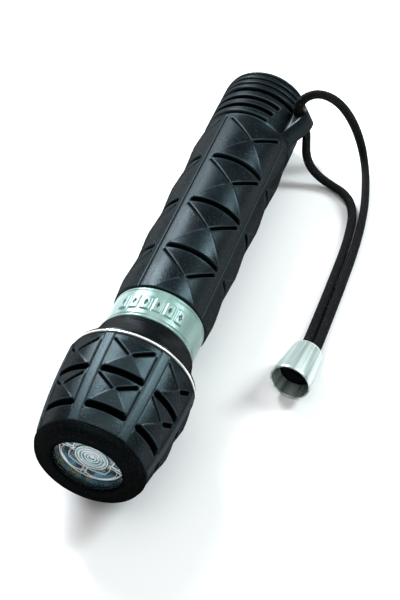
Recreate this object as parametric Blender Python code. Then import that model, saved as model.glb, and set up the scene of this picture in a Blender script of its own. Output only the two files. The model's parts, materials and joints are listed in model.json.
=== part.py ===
"""Rubber-armoured LED flashlight for two D cells, lying on its side with its wrist lanyard laid out beside it.

The flashlight is drawn along its own axis: a station is a distance behind the front plane of the bezel, and
every turned piece is an outline of (radius, station) pairs in millimetres. An empty named torch_axis carries
them all and lays them down, so that the head's rear rim and a tail rib touch the ground, z = 0.
"""

import math

import bmesh
import bpy
from mathutils import Matrix, Vector

MM = 0.001
FACETS = 32                 # flat sides of every piece that turns about the flashlight's axis
FINE_FACETS = 20            # the same, for pieces under 8 mm across
GAP = 0.3                   # between pieces that touch

# Driving sizes, in millimetres
HANDLE_R = 21.0
HEAD_FRONT_R = 23.6
HEAD_RIM_R = 27.8
FRONT_FACE_R = 17.4
LIP_R = 14.7
TAIL_FACE_R = 19.0
BARREL_OUT_R = 18.6
BARREL_IN_R = 17.4
NECK_IN_R = 15.5
HEAD_BORE_R = 19.0
CELL_R = 16.9
CELL_NUB_R = 4.75
CELL_BODY = 60.0
CELL_NUB = 1.5

# Stations along the axis, in millimetres
BEZEL_BACK = 4.6
RIM_FRONT = 4.9
RIM_BACK = 48.3
TRIM_BACK = 49.5
COLLAR_BACK = 64.3
RING_BACK = 81.1
BARREL_FRONT = 52.0
BARREL_BACK = 213.2
SLEEVE_FRONT = 81.4
SLEEVE_BACK = 214.0
CELL_START = 78.7
CAP_FRONT = 216.5
TAIL_END = 230.0

# The lanyard lug: its turn about the axis, from straight up towards +X, in degrees, and its eye
LUG_TURN = 64.0
EYE_R = 2.6
EYE_STATION = 212.8
EYE_HEIGHT = 24.7

# Lanyard, in metres: the strands' routes over the ground, as points that a smooth curve goes through
CORD_R = 0.0018
OUTER_ROUTE = [
    (0.0221, 0.0981, 0.0323), (0.0212, 0.0981, 0.0342), (0.0203, 0.0982, 0.0364),
    (0.0200, 0.0988, 0.0392), (0.0209, 0.1000, 0.0420), (0.0232, 0.1017, 0.0442),
    (0.0270, 0.1040, 0.0449), (0.0314, 0.1066, 0.0428), (0.0358, 0.1095, 0.0380),
    (0.0400, 0.1118, 0.0312), (0.0440, 0.1130, 0.0232), (0.0475, 0.1128, 0.0150),
    (0.0508, 0.1100, 0.0080), (0.0541, 0.1032, 0.0036), (0.0571, 0.0930, 0.0021),
    (0.0597, 0.0810, 0.0020), (0.0615, 0.0665, 0.0020), (0.0624, 0.0510, 0.0020),
    (0.0626, 0.0355, 0.0020), (0.0626, 0.0200, 0.0020), (0.0625, 0.0070, 0.0021),
    (0.0625, -0.0030, 0.0028), (0.0624, -0.0110, 0.0040), (0.0621, -0.0170, 0.0052),
    (0.0617, -0.0212, 0.0060),
]
INNER_ROUTE = [
    (0.0223, 0.0981, 0.0319), (0.0232, 0.0981, 0.0300), (0.0243, 0.0979, 0.0276),
    (0.0252, 0.0970, 0.0246), (0.0258, 0.0954, 0.0208), (0.0266, 0.0938, 0.0162),
    (0.0286, 0.0926, 0.0112), (0.0322, 0.0918, 0.0069), (0.0370, 0.0912, 0.0038),
    (0.0420, 0.0902, 0.0023), (0.0474, 0.0878, 0.0020), (0.0524, 0.0826, 0.0020),
    (0.0558, 0.0740, 0.0020), (0.0573, 0.0625, 0.0020), (0.0580, 0.0488, 0.0020),
    (0.0581, 0.0340, 0.0020), (0.0581, 0.0200, 0.0020), (0.0580, 0.0070, 0.0021),
    (0.0580, -0.0030, 0.0028), (0.0579, -0.0110, 0.0040), (0.0577, -0.0170, 0.0052),
    (0.0574, -0.0212, 0.0060),
]
STRAND_POINTS = 36

# Bell on the lanyard's end: (radius, distance from its neck) in millimetres, and where its neck is, in metres
BELL_OUTSIDE = [(6.9, 0.0), (7.3, 0.8), (9.3, 18.8), (9.2, 20.0)]
BELL_WALL = 0.9
BELL_NECK = (0.0602, -0.0140)
BELL_FACETS = 24
BELL_CLEARANCE = 0.05       # above the ground, in millimetres
BELL_YAW = 6.0              # how far its mouth turns from -Y towards -X, in degrees


def clear_scene():
    for obj in list(bpy.data.objects):
        bpy.data.objects.remove(obj, do_unlink=True)


def make_material(name, colour, roughness, metallic=0.0):
    material = bpy.data.materials.new(name)
    material.use_nodes = True
    shader = material.node_tree.nodes["Principled BSDF"]
    shader.inputs["Base Color"].default_value = (*colour, 1.0)
    shader.inputs["Roughness"].default_value = roughness
    shader.inputs["Metallic"].default_value = metallic
    return material


def add_object(name, bm, material, parent=None):
    """Turns a bmesh into a named object, with its faces pointing out and smooth shading."""
    bmesh.ops.recalc_face_normals(bm, faces=bm.faces)
    mesh = bpy.data.meshes.new(name)
    bm.to_mesh(mesh)
    bm.free()
    mesh.shade_smooth()
    mesh.set_sharp_from_angle(angle=math.radians(30))
    mesh.materials.append(material)
    obj = bpy.data.objects.new(name, mesh)
    bpy.context.scene.collection.objects.link(obj)
    obj.parent = parent
    return obj


def turned_bmesh(outline, facets):
    """A solid of revolution about local Y from a closed outline of (radius, station), in millimetres.
    One flat side faces straight down. An outline point at radius 0 becomes a single vertex."""
    bm = bmesh.new()
    rings = []
    for radius, station in outline:
        if radius == 0:
            rings.append([bm.verts.new((0, station * MM, 0))] * facets)
            continue
        ring = []
        for i in range(facets):
            turn = 2 * math.pi * (i + 0.5) / facets
            ring.append(bm.verts.new(Vector((radius * math.sin(turn), station, radius * math.cos(turn))) * MM))
        rings.append(ring)
    for ring, after in zip(rings, rings[1:] + rings[:1]):
        for i in range(facets):
            k = (i + 1) % facets
            corners = []
            for vert in (ring[i], ring[k], after[k], after[i]):
                if vert not in corners:
                    corners.append(vert)
            if len(corners) > 2:
                bm.faces.new(corners)
    return bm


def turned(name, outline, material, parent, facets=FACETS):
    return add_object(name, turned_bmesh(outline, facets), material, parent)


def o_ring(name, inner_r, outer_r, front, back, material, parent):
    """A seal with a six-sided section."""
    middle = (inner_r + outer_r) / 2
    quarter = (back - front) / 4
    outline = [
        (inner_r, middle_station) for middle_station in (front + quarter, back - quarter)
    ] + [(middle, back)] + [
        (outer_r, middle_station) for middle_station in (back - quarter, front + quarter)
    ] + [(middle, front)]
    return turned(name, outline, material, parent)


def curve_tube(name, points, radius, material, parent=None, sides_resolution=2):
    """A tube with closed ends along a polyline, in metres."""
    curve = bpy.data.curves.new(name, "CURVE")
    curve.dimensions = "3D"
    curve.bevel_depth = radius
    curve.bevel_resolution = sides_resolution
    curve.use_fill_caps = True
    spline = curve.splines.new("POLY")
    spline.points.add(len(points) - 1)
    for point, place in zip(spline.points, points):
        point.co = (*place, 1.0)
    curve.materials.append(material)
    obj = bpy.data.objects.new(name, curve)
    bpy.context.scene.collection.objects.link(obj)
    obj.parent = parent
    return obj


def smooth_points(route, count):
    """Points at even distances along a Catmull-Rom curve through the route."""
    nodes = [Vector(p) for p in route]
    nodes = [2 * nodes[0] - nodes[1]] + nodes + [2 * nodes[-1] - nodes[-2]]
    dense = []
    for a, b, c, d in zip(nodes, nodes[1:], nodes[2:], nodes[3:]):
        for step in range(24):
            t = step / 24
            dense.append(0.5 * (2 * b + (c - a) * t + (2 * a - 5 * b + 4 * c - d) * t ** 2
                                + (3 * b - a - 3 * c + d) * t ** 3))
    dense.append(nodes[-2])
    along = [0.0]
    for a, b in zip(dense, dense[1:]):
        along.append(along[-1] + (b - a).length)
    points = []
    k = 0
    for i in range(count):
        wanted = along[-1] * i / (count - 1)
        while k < len(dense) - 2 and along[k + 1] < wanted:
            k += 1
        share = (wanted - along[k]) / (along[k + 1] - along[k])
        points.append(dense[k].lerp(dense[k + 1], min(share, 1.0)))
    return points


def helix(turns, radius_start, radius_end, start, end, per_turn):
    """Points of a coil about local Y, in metres. Its end turns lie almost flat."""
    count = round(turns * per_turn)
    points = []
    for i in range(count + 1):
        share = i / count
        turn = 2 * math.pi * turns * share
        radius = radius_start + (radius_end - radius_start) * share
        rise = share - 0.06 * math.sin(2 * math.pi * share)
        station = start + (end - start) * rise
        points.append(Vector((radius * math.sin(turn), station, radius * math.cos(turn))) * MM)
    return points


def resting_tilt(pivot, outline, facets):
    """The angle that a turned body leans by when it lies on the pivot's radius and the first other point
    of its outline that meets the ground."""
    flat = math.cos(math.pi / facets)
    return min(
        math.atan2((pivot[0] - radius) * flat, abs(station - pivot[1]))
        for radius, station in outline
    )


def head_radius(station):
    """The head sleeve's outer radius: it swells from the bezel back to the rim."""
    share = (station - RIM_FRONT) / (RIM_BACK - RIM_FRONT)
    return HEAD_FRONT_R + (HEAD_RIM_R - HEAD_FRONT_R) * math.sin(share * math.pi / 2) ** 0.8


def sleeve_outline():
    """The handle sleeve: a smooth grip for the tread, a groove, and three wide ribs at the rear."""
    groove_r = HANDLE_R - 1.5
    outline = [(HANDLE_R - 0.5, SLEEVE_FRONT), (HANDLE_R, SLEEVE_FRONT + 0.8)]
    for front, back in ((197.0, 199.0), (202.2, 204.6), (207.9, 210.3)):
        outline += [(HANDLE_R, front), (groove_r, front + 0.4), (groove_r, back - 0.4), (HANDLE_R, back)]
    outline += [(HANDLE_R, SLEEVE_BACK - 0.5), (HANDLE_R - 0.5, SLEEVE_BACK)]
    inside = BARREL_OUT_R + GAP
    return outline + [(inside, SLEEVE_BACK), (inside, SLEEVE_FRONT)]


def cap_outside():
    """The tail cap's outside, from its front edge to its end face: four ribs, each a little smaller."""
    outline = [(20.3, CAP_FRONT + 0.1)]
    for front, top_r in ((217.0, 20.9), (220.6, 20.9), (224.2, 20.9)):
        outline += [(top_r, front), (top_r, front + 2.2), (top_r - 1.2, front + 2.7), (top_r - 1.2, front + 3.2)]
    return outline + [(20.7, 227.9), (20.4, 229.0), (TAIL_FACE_R, TAIL_END)]


def torch_placement():
    """The matrix that lays the flashlight's axis down along +Y, centred over the origin."""
    pivot = (HEAD_RIM_R, RIM_BACK)
    lean = resting_tilt(pivot, cap_outside(), FACETS)
    flat = math.cos(math.pi / FACETS)
    height = pivot[1] * math.sin(lean) + pivot[0] * flat * math.cos(lean)
    middle = (TAIL_END * math.cos(lean) + (TAIL_FACE_R - FRONT_FACE_R) * flat * math.sin(lean)) / 2
    return Matrix.Translation((0, -middle * MM, height * MM)) @ Matrix.Rotation(-lean, 4, "X")


def build_head(axis, mats):
    """Everything forward of the twist joint. It turns as one body."""
    turned("front_bezel", [
        (LIP_R, 1.9), (14.9, 1.1), (15.8, 0.35), (FRONT_FACE_R, 0.0), (19.2, 0.1), (21.2, 0.9), (22.8, 2.4),
        (HEAD_FRONT_R, BEZEL_BACK - 0.3), (HEAD_FRONT_R, BEZEL_BACK), (17.2, BEZEL_BACK), (17.2, 1.9),
    ], mats["rubber"], axis)
    turned("front_window", [(0, 2.2), (16.8, 2.2), (16.8, 3.7), (0, 3.7)], mats["clear"], axis)
    o_ring("window_seal", 15.4, 16.8, 4.0, 5.2, mats["rubber"], axis)
    turned("reflector", [
        (14.4, 4.1), (13.7, 5.9), (13.7, 8.0), (12.4, 9.0), (10.4, 13.0), (8.0, 16.4), (5.2, 18.6), (5.2, 19.8),
        (6.8, 19.8), (9.6, 17.4), (12.4, 13.4), (15.0, 8.6), (16.9, 8.6), (16.9, 5.5), (15.0, 5.5), (15.0, 4.1),
    ], mats["chrome"], axis)
    turned("petal_insert", [(7.4, 6.2), (13.4, 6.2), (13.4, 7.6), (7.4, 7.6)], mats["chrome"], axis)
    turned("collimator_lens", [
        (0, 5.9), (7.1, 5.9), (7.1, 7.6), (5.2, 14.2), (3.4, 18.2), (2.6, 18.2), (2.6, 16.2), (0, 15.8),
    ], mats["clear"], axis)
    turned("led_emitter", [
        (0, 16.8), (1.2, 17.1), (2.0, 18.2), (2.0, 18.6), (3.4, 18.6), (3.4, 19.8), (0, 19.8),
    ], mats["phosphor"], axis, FINE_FACETS)
    turned("led_board", [(0, 20.1), (12.0, 20.1), (12.0, 21.7), (0, 21.7)], mats["board"], axis)
    turned("heat_sink", [
        (0, 22.0), (16.8, 22.0), (16.8, 25.0), (9.0, 25.0), (9.0, 28.0), (15.0, 28.0), (15.0, 30.0),
        (9.0, 30.0), (9.0, 33.0), (15.0, 33.0), (15.0, 35.0), (0, 35.0),
    ], mats["aluminium"], axis)
    turned("head_shell", [
        (17.2, RIM_FRONT), (20.6, RIM_FRONT), (24.2, 40.0), (24.2, RIM_BACK), (21.9, RIM_BACK),
        (21.9, 43.6), (17.2, 43.6),
    ], mats["plastic"], axis)
    stations = [RIM_FRONT, 10.0, 18.0, 28.0, 38.0, RIM_BACK]
    outside = [(head_radius(s), s) for s in stations]
    turned("head_sleeve", outside + [(24.5, RIM_BACK), (24.5, 40.0), (20.9, RIM_FRONT)], mats["rubber"], axis)
    turned("trim_ring", [(22.0, 48.6), (27.6, 48.6), (27.6, TRIM_BACK), (22.0, TRIM_BACK)], mats["silver"], axis)
    turned("rear_collar", [
        (HEAD_BORE_R, 43.9), (21.6, 43.9), (21.6, 49.8), (27.1, 49.8), (27.0, 51.0), (24.9, 53.6),
        (22.9, 57.6), (21.4, 61.6), (20.6, COLLAR_BACK), (HEAD_BORE_R, COLLAR_BACK),
    ], mats["plastic"], axis)
    turned("switch_board", [(0, 47.2), (18.6, 47.2), (18.6, 48.8), (0, 48.8)], mats["board"], axis)
    turned("switch_ring", [(15.8, 49.1), (18.4, 49.1), (18.4, 51.6), (15.8, 51.6)], mats["brass"], axis)
    curve_tube("switch_spring", helix(4, 4.4, 3.6, 49.7, 69.6, 9), 0.5 * MM, mats["steel"], axis, 1)


def build_body(axis, mats):
    """Everything that stays still: the barrel, what it holds, and what it wears."""
    turned("barrel", [
        (NECK_IN_R, BARREL_FRONT), (BARREL_OUT_R, BARREL_FRONT), (BARREL_OUT_R, 57.0), (17.4, 57.0), (17.4, 59.6),
        (BARREL_OUT_R, 59.6), (BARREL_OUT_R, BARREL_BACK), (BARREL_IN_R, BARREL_BACK), (BARREL_IN_R, 71.6),
        (NECK_IN_R, 71.6),
    ], mats["aluminium"], axis)
    o_ring("neck_seal", 17.7, 18.7, 57.3, 59.3, mats["rubber"], axis)
    turned("insulator_plug", [(3.0, 71.9), (17.1, 71.9), (17.1, 77.0), (3.0, 77.0)], mats["plastic"], axis)
    turned("centre_contact", [
        (0, 70.4), (5.0, 70.4), (5.0, 71.6), (2.6, 71.6), (2.6, 77.3), (5.0, 77.3), (5.0, 78.4), (0, 78.4),
    ], mats["brass"], axis, FINE_FACETS)
    start = CELL_START
    for name in ("front_cell", "rear_cell"):
        shoulder = start + CELL_NUB
        turned(name, [
            (0, start), (CELL_NUB_R, start), (CELL_NUB_R, shoulder), (CELL_R, shoulder),
            (CELL_R, shoulder + CELL_BODY), (0, shoulder + CELL_BODY),
        ], mats["wrap"], axis)
        start = shoulder + CELL_BODY + GAP
    turned("handle_sleeve", sleeve_outline(), mats["rubber"], axis)
    build_silver_ring(axis, mats)
    build_lug(axis, mats)


def build_silver_ring(axis, mats):
    """The bright ring between head and handle, with a row of plain raised blocks all round."""
    ring_r = 20.2
    block_height = 0.5
    inside = BARREL_OUT_R + GAP
    bm = turned_bmesh([
        (inside, COLLAR_BACK + 0.5), (ring_r - 0.4, COLLAR_BACK + 0.5), (ring_r, COLLAR_BACK + 1.1), (ring_r, 68.8),
        (ring_r, 76.4), (ring_r, RING_BACK - 0.6), (ring_r - 0.4, RING_BACK), (inside, RING_BACK),
    ], FACETS)
    bm.faces.ensure_lookup_table()
    for face in list(bm.faces):
        centre = face.calc_center_median() / MM
        outward = Vector((centre.x, 0, centre.z))
        turn = round(math.degrees(math.atan2(centre.x, centre.z)) / (360 / FACETS))
        if 68.8 < centre.y < 76.4 and outward.length > ring_r - 0.5 and turn % 4 in (1, 2, 3):
            raised = bmesh.ops.extrude_discrete_faces(bm, faces=[face])["faces"][0]
            top = raised.calc_center_median()
            for vert in raised.verts:
                along = Vector((0, top.y, 0)) + (vert.co - Vector((0, top.y, 0))) * 0.82
                vert.co = Vector((vert.co.x * 0.96 + top.x * 0.04, along.y, vert.co.z * 0.96 + top.z * 0.04))
                vert.co += outward.normalized() * block_height * MM
    add_object("silver_ring", bm, mats["silver"], axis)


def build_lug(axis, mats):
    """The lanyard lug: a swept fin on the rear of the handle with an eye across it, over the tail cap's edge."""
    half = 4.6
    side = [
        (197.4, 20.0), (202.0, 23.2), (207.0, 26.6), (210.4, 28.2), (213.6, 28.6), (216.8, 27.6),
        (218.7, 25.2), (218.7, 23.2), (217.2, 21.9), (214.4, 21.9), (213.4, 20.0),
    ]
    bm = bmesh.new()
    faces = []
    for x in (-half, half):
        verts = [bm.verts.new(Vector((x, station, radius)) * MM) for station, radius in side]
        faces.append((bm.faces.new(verts), verts))
    (_, left), (_, right) = faces
    for i in range(len(side)):
        k = (i + 1) % len(side)
        bm.faces.new((left[i], left[k], right[k], right[i]))
    bmesh.ops.recalc_face_normals(bm, faces=bm.faces)
    rim = [e for e in bm.edges if abs(e.verts[0].co.x - e.verts[1].co.x) < 1e-6]
    bmesh.ops.bevel(bm, geom=rim, offset=1.2 * MM, segments=2, profile=0.6, affect="EDGES")
    lug = add_object("lanyard_lug", bm, mats["plastic"], axis)
    lug.rotation_euler = (0, math.radians(LUG_TURN), 0)
    eye = turned_bmesh([(0, -8.0), (EYE_R, -8.0), (EYE_R, 8.0), (0, 8.0)], FINE_FACETS)
    bmesh.ops.rotate(eye, verts=eye.verts, matrix=Matrix.Rotation(math.pi / 2, 3, "Z"))
    bmesh.ops.translate(eye, verts=eye.verts, vec=Vector((0, EYE_STATION, EYE_HEIGHT)) * MM)
    cutters = [
        add_object("lug_eye_cutter", eye, mats["plastic"], axis),
        turned("lug_seat_cutter", [
            (0, 190.0), (HANDLE_R + GAP, 190.0), (HANDLE_R + GAP, 216.0), (0, 216.0),
        ], mats["plastic"], axis),
    ]
    cutters[0].rotation_euler = lug.rotation_euler
    for cutter in cutters:
        cutter.hide_render = True
        cutter.display_type = "WIRE"
        cut = lug.modifiers.new(cutter.name, "BOOLEAN")
        cut.operation = "DIFFERENCE"
        cut.object = cutter


def build_tail(axis, mats):
    """The tail seal, which only slides with the cap, and the cap with its contact plate and spring."""
    o_ring("tail_seal", 17.5, 18.5, 213.6, 215.6, mats["rubber"], axis)
    turned("cap_core", [
        (15.0, 205.6), (17.0, 205.6), (17.0, 216.0), (18.5, 216.0), (18.5, 227.9), (0, 227.9), (0, 219.4),
        (15.0, 219.4),
    ], mats["plastic"], axis)
    turned("cap_grip", cap_outside() + [(0, TAIL_END), (0, 228.2), (18.8, 228.2), (18.8, CAP_FRONT + 0.1)],
           mats["rubber"], axis)
    turned("spring_plate", [(0, 217.9), (14.6, 217.9), (14.6, 219.1), (0, 219.1)], mats["steel"], axis)
    curve_tube("tail_spring", helix(4, 6.5, 12.0, 202.9, 216.9, 10), 0.6 * MM, mats["steel"], axis, 1)


def build_lanyard(mats):
    """Two strands from the lug's eye, side by side along the ground to the bell on their end."""
    for name, route in (("lanyard_outer_strand", OUTER_ROUTE), ("lanyard_inner_strand", INNER_ROUTE)):
        curve_tube(name, smooth_points(route, STRAND_POINTS), CORD_R, mats["cord"])
    pivot = BELL_OUTSIDE[-2]
    lean = resting_tilt(pivot, BELL_OUTSIDE[:-2], BELL_FACETS)
    flat = math.cos(math.pi / BELL_FACETS)
    height = pivot[0] * flat * math.cos(lean) - pivot[1] * math.sin(lean) + BELL_CLEARANCE
    place = (Matrix.Translation((*BELL_NECK, height * MM))
             @ Matrix.Rotation(math.radians(180 - BELL_YAW), 4, "Z")
             @ Matrix.Rotation(lean, 4, "X"))
    inside = [(radius - BELL_WALL, station) for radius, station in BELL_OUTSIDE]
    bell = turned("lanyard_bell", BELL_OUTSIDE + inside[::-1], mats["silver"], None, BELL_FACETS)
    bell.matrix_world = place
    plug = turned("bell_plug", [(0, 8.0), (6.8, 8.0), (7.4, 13.4), (6.4, 14.0), (0, 14.0)], mats["rubber"],
                  None, BELL_FACETS)
    plug.matrix_world = place


def main():
    clear_scene()
    mats = {
        "rubber": make_material("black_rubber", (0.016, 0.022, 0.025), 0.55),
        "plastic": make_material("black_plastic", (0.012, 0.014, 0.016), 0.35),
        "silver": make_material("pale_silver", (0.56, 0.70, 0.67), 0.32, 0.6),
        "chrome": make_material("chrome", (0.80, 0.84, 0.86), 0.08, 1.0),
        "clear": make_material("clear_plastic", (0.85, 0.92, 0.94), 0.05),
        "aluminium": make_material("aluminium", (0.62, 0.63, 0.64), 0.35, 1.0),
        "brass": make_material("brass", (0.72, 0.53, 0.22), 0.3, 1.0),
        "steel": make_material("spring_steel", (0.60, 0.60, 0.60), 0.25, 1.0),
        "board": make_material("circuit_board", (0.05, 0.20, 0.10), 0.5),
        "phosphor": make_material("phosphor", (0.90, 0.72, 0.18), 0.4),
        "wrap": make_material("cell_wrap", (0.28, 0.31, 0.36), 0.35, 0.4),
        "cord": make_material("braided_cord", (0.010, 0.010, 0.011), 0.85),
    }
    axis = bpy.data.objects.new("torch_axis", None)
    bpy.context.scene.collection.objects.link(axis)
    axis.matrix_world = torch_placement()
    build_head(axis, mats)
    build_body(axis, mats)
    build_tail(axis, mats)
    build_lanyard(mats)


main()
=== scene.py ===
"""The looks of the flashlight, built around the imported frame.

The flashlight is drawn along its own axis: a station is a distance behind the front plane of the bezel, and a
turn is an angle about the axis, from straight up towards +X. Both are in millimetres and degrees, and the
matrix TORCH lays them into the row frame, where the lanyard and its bell are drawn directly, in metres.
"""

import json
import math

import bmesh
import bpy
import numpy as np
from mathutils import Matrix, Vector


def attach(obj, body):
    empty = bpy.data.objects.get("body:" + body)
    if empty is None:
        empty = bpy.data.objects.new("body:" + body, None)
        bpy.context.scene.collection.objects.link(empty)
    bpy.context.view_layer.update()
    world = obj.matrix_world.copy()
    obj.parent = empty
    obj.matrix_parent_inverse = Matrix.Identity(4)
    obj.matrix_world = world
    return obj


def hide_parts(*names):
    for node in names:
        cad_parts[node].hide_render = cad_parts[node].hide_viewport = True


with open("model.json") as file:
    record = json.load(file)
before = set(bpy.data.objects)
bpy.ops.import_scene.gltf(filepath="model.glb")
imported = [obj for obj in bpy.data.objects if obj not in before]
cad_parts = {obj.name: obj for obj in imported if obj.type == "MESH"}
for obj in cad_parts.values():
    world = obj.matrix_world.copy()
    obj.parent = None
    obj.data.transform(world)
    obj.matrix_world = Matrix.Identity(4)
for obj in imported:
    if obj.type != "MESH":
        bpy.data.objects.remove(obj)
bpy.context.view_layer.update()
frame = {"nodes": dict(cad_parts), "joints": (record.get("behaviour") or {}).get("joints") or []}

MM = 0.001
SEGMENTS = 144              # round the axis, on the smooth turned pieces
TWIST_STATION = 55.8        # where the head's twist joint is on the axis
HEAD_FRONT, HEAD_BACK = 4.9, 48.3       # the head sleeve's ends
LUG_TURN = 64.0             # where the lanyard lug stands on the handle
COOL_SHEEN = (0.60, 0.90, 1.0, 1.0)     # tints the highlights on the black rubber and plastic

# The lanyard's strands, as points that a smooth curve goes through, in metres
OUTER_ROUTE = [
    (0.0221, 0.0981, 0.0323), (0.0212, 0.0981, 0.0342), (0.0203, 0.0982, 0.0364),
    (0.0200, 0.0988, 0.0392), (0.0209, 0.1000, 0.0420), (0.0232, 0.1017, 0.0442),
    (0.0270, 0.1040, 0.0449), (0.0314, 0.1066, 0.0428), (0.0358, 0.1095, 0.0380),
    (0.0400, 0.1118, 0.0312), (0.0440, 0.1130, 0.0232), (0.0475, 0.1128, 0.0150),
    (0.0508, 0.1100, 0.0080), (0.0541, 0.1032, 0.0036), (0.0571, 0.0930, 0.0021),
    (0.0597, 0.0810, 0.0020), (0.0615, 0.0665, 0.0020), (0.0624, 0.0510, 0.0020),
    (0.0626, 0.0355, 0.0020), (0.0626, 0.0200, 0.0020), (0.0625, 0.0070, 0.0021),
    (0.0625, -0.0030, 0.0028), (0.0624, -0.0110, 0.0040), (0.0621, -0.0170, 0.0052),
    (0.0617, -0.0212, 0.0060),
]
INNER_ROUTE = [
    (0.0223, 0.0981, 0.0319), (0.0232, 0.0981, 0.0300), (0.0243, 0.0979, 0.0276),
    (0.0252, 0.0970, 0.0246), (0.0258, 0.0954, 0.0208), (0.0266, 0.0938, 0.0162),
    (0.0286, 0.0926, 0.0112), (0.0322, 0.0918, 0.0069), (0.0370, 0.0912, 0.0038),
    (0.0420, 0.0902, 0.0023), (0.0474, 0.0878, 0.0020), (0.0524, 0.0826, 0.0020),
    (0.0558, 0.0740, 0.0020), (0.0573, 0.0625, 0.0020), (0.0580, 0.0488, 0.0020),
    (0.0581, 0.0340, 0.0020), (0.0581, 0.0200, 0.0020), (0.0580, 0.0070, 0.0021),
    (0.0580, -0.0030, 0.0028), (0.0579, -0.0110, 0.0040), (0.0577, -0.0170, 0.0052),
    (0.0574, -0.0212, 0.0060),
]
CORD_STEP = 0.00028         # between the rings of points along a strand, in metres
CORD_WIDTH = 4.6
CORD_THICKNESS = 3.8


# ---- camera, floor and light

def aimed_object(name, data, place, facing):
    """A camera or a light, at a place and turned to face one way."""
    obj = bpy.data.objects.new(name, data)
    obj.location = place
    obj.rotation_mode = "QUATERNION"
    obj.rotation_quaternion = facing.to_track_quat("-Z", "Y")
    bpy.context.scene.collection.objects.link(obj)
    return obj


def make_camera():
    """An ordinary camera above and in front of the head, a little to its left."""
    target = Vector((0.009, -0.008, 0.015))
    azimuth = math.radians(19.5)
    elevation = math.radians(50.0)
    distance = 0.640
    level = math.cos(elevation)
    back = Vector((math.sin(azimuth) * level, -math.cos(azimuth) * level, math.sin(elevation)))
    data = bpy.data.cameras.new("camera")
    data.lens = 88.0
    data.sensor_width = 36.0
    data.clip_start = 0.01
    bpy.context.scene.camera = aimed_object("camera", data, target + back * distance, -back)


def area_light(name, place, size, power, colour):
    """A soft panel that faces the middle of the flashlight."""
    data = bpy.data.lights.new(name, "AREA")
    data.shape = "RECTANGLE"
    data.size, data.size_y = size
    data.energy = power
    data.color = colour
    aimed_object(name, data, place, Vector((0, 0, 0.02)) - Vector(place))


def make_studio():
    """A pale floor, an even sky, and soft panels behind, on both sides and above."""
    floor_mesh = bpy.data.meshes.new("floor")
    half = 3.0
    below = -0.0004
    corners = [(-half, -half, below), (half, -half, below), (half, half, below), (-half, half, below)]
    floor_mesh.from_pydata(corners, [], [(0, 1, 2, 3)])
    floor = bpy.data.objects.new("floor", floor_mesh)
    bpy.context.scene.collection.objects.link(floor)
    floor_mesh.materials.append(plain_material("floor_paper", (0.90, 0.888, 0.882), 0.95))
    world = bpy.data.worlds.new("studio")
    world.use_nodes = True
    background = world.node_tree.nodes["Background"]
    background.inputs["Color"].default_value = (0.99, 0.99, 1.0, 1.0)
    background.inputs["Strength"].default_value = 0.42
    bpy.context.scene.world = world
    for name, place, size, power, colour in (
        ("left_panel", (-0.66, 0.62, 0.66), (0.28, 0.60), 23.0, (0.88, 0.95, 1.0)),
        ("right_panel", (0.66, 0.52, 0.72), (0.20, 0.50), 10.0, (0.86, 0.98, 1.0)),
        ("back_strip", (-0.45, 1.0, 0.16), (0.5, 0.16), 2.2, (0.78, 0.90, 1.0)),
        ("top_panel", (0.05, -0.15, 1.5), (1.4, 1.4), 7.0, (1.0, 0.985, 0.97)),
    ):
        area_light(name, place, size, power, colour)
    bpy.context.scene.view_settings.view_transform = "Standard"


# ---- materials

def plain_material(name, colour, roughness, metallic=0.0):
    material = bpy.data.materials.new(name)
    material.use_nodes = True
    shader = material.node_tree.nodes["Principled BSDF"]
    shader.inputs["Base Color"].default_value = (*colour, 1.0)
    shader.inputs["Roughness"].default_value = roughness
    shader.inputs["Metallic"].default_value = metallic
    return material


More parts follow.
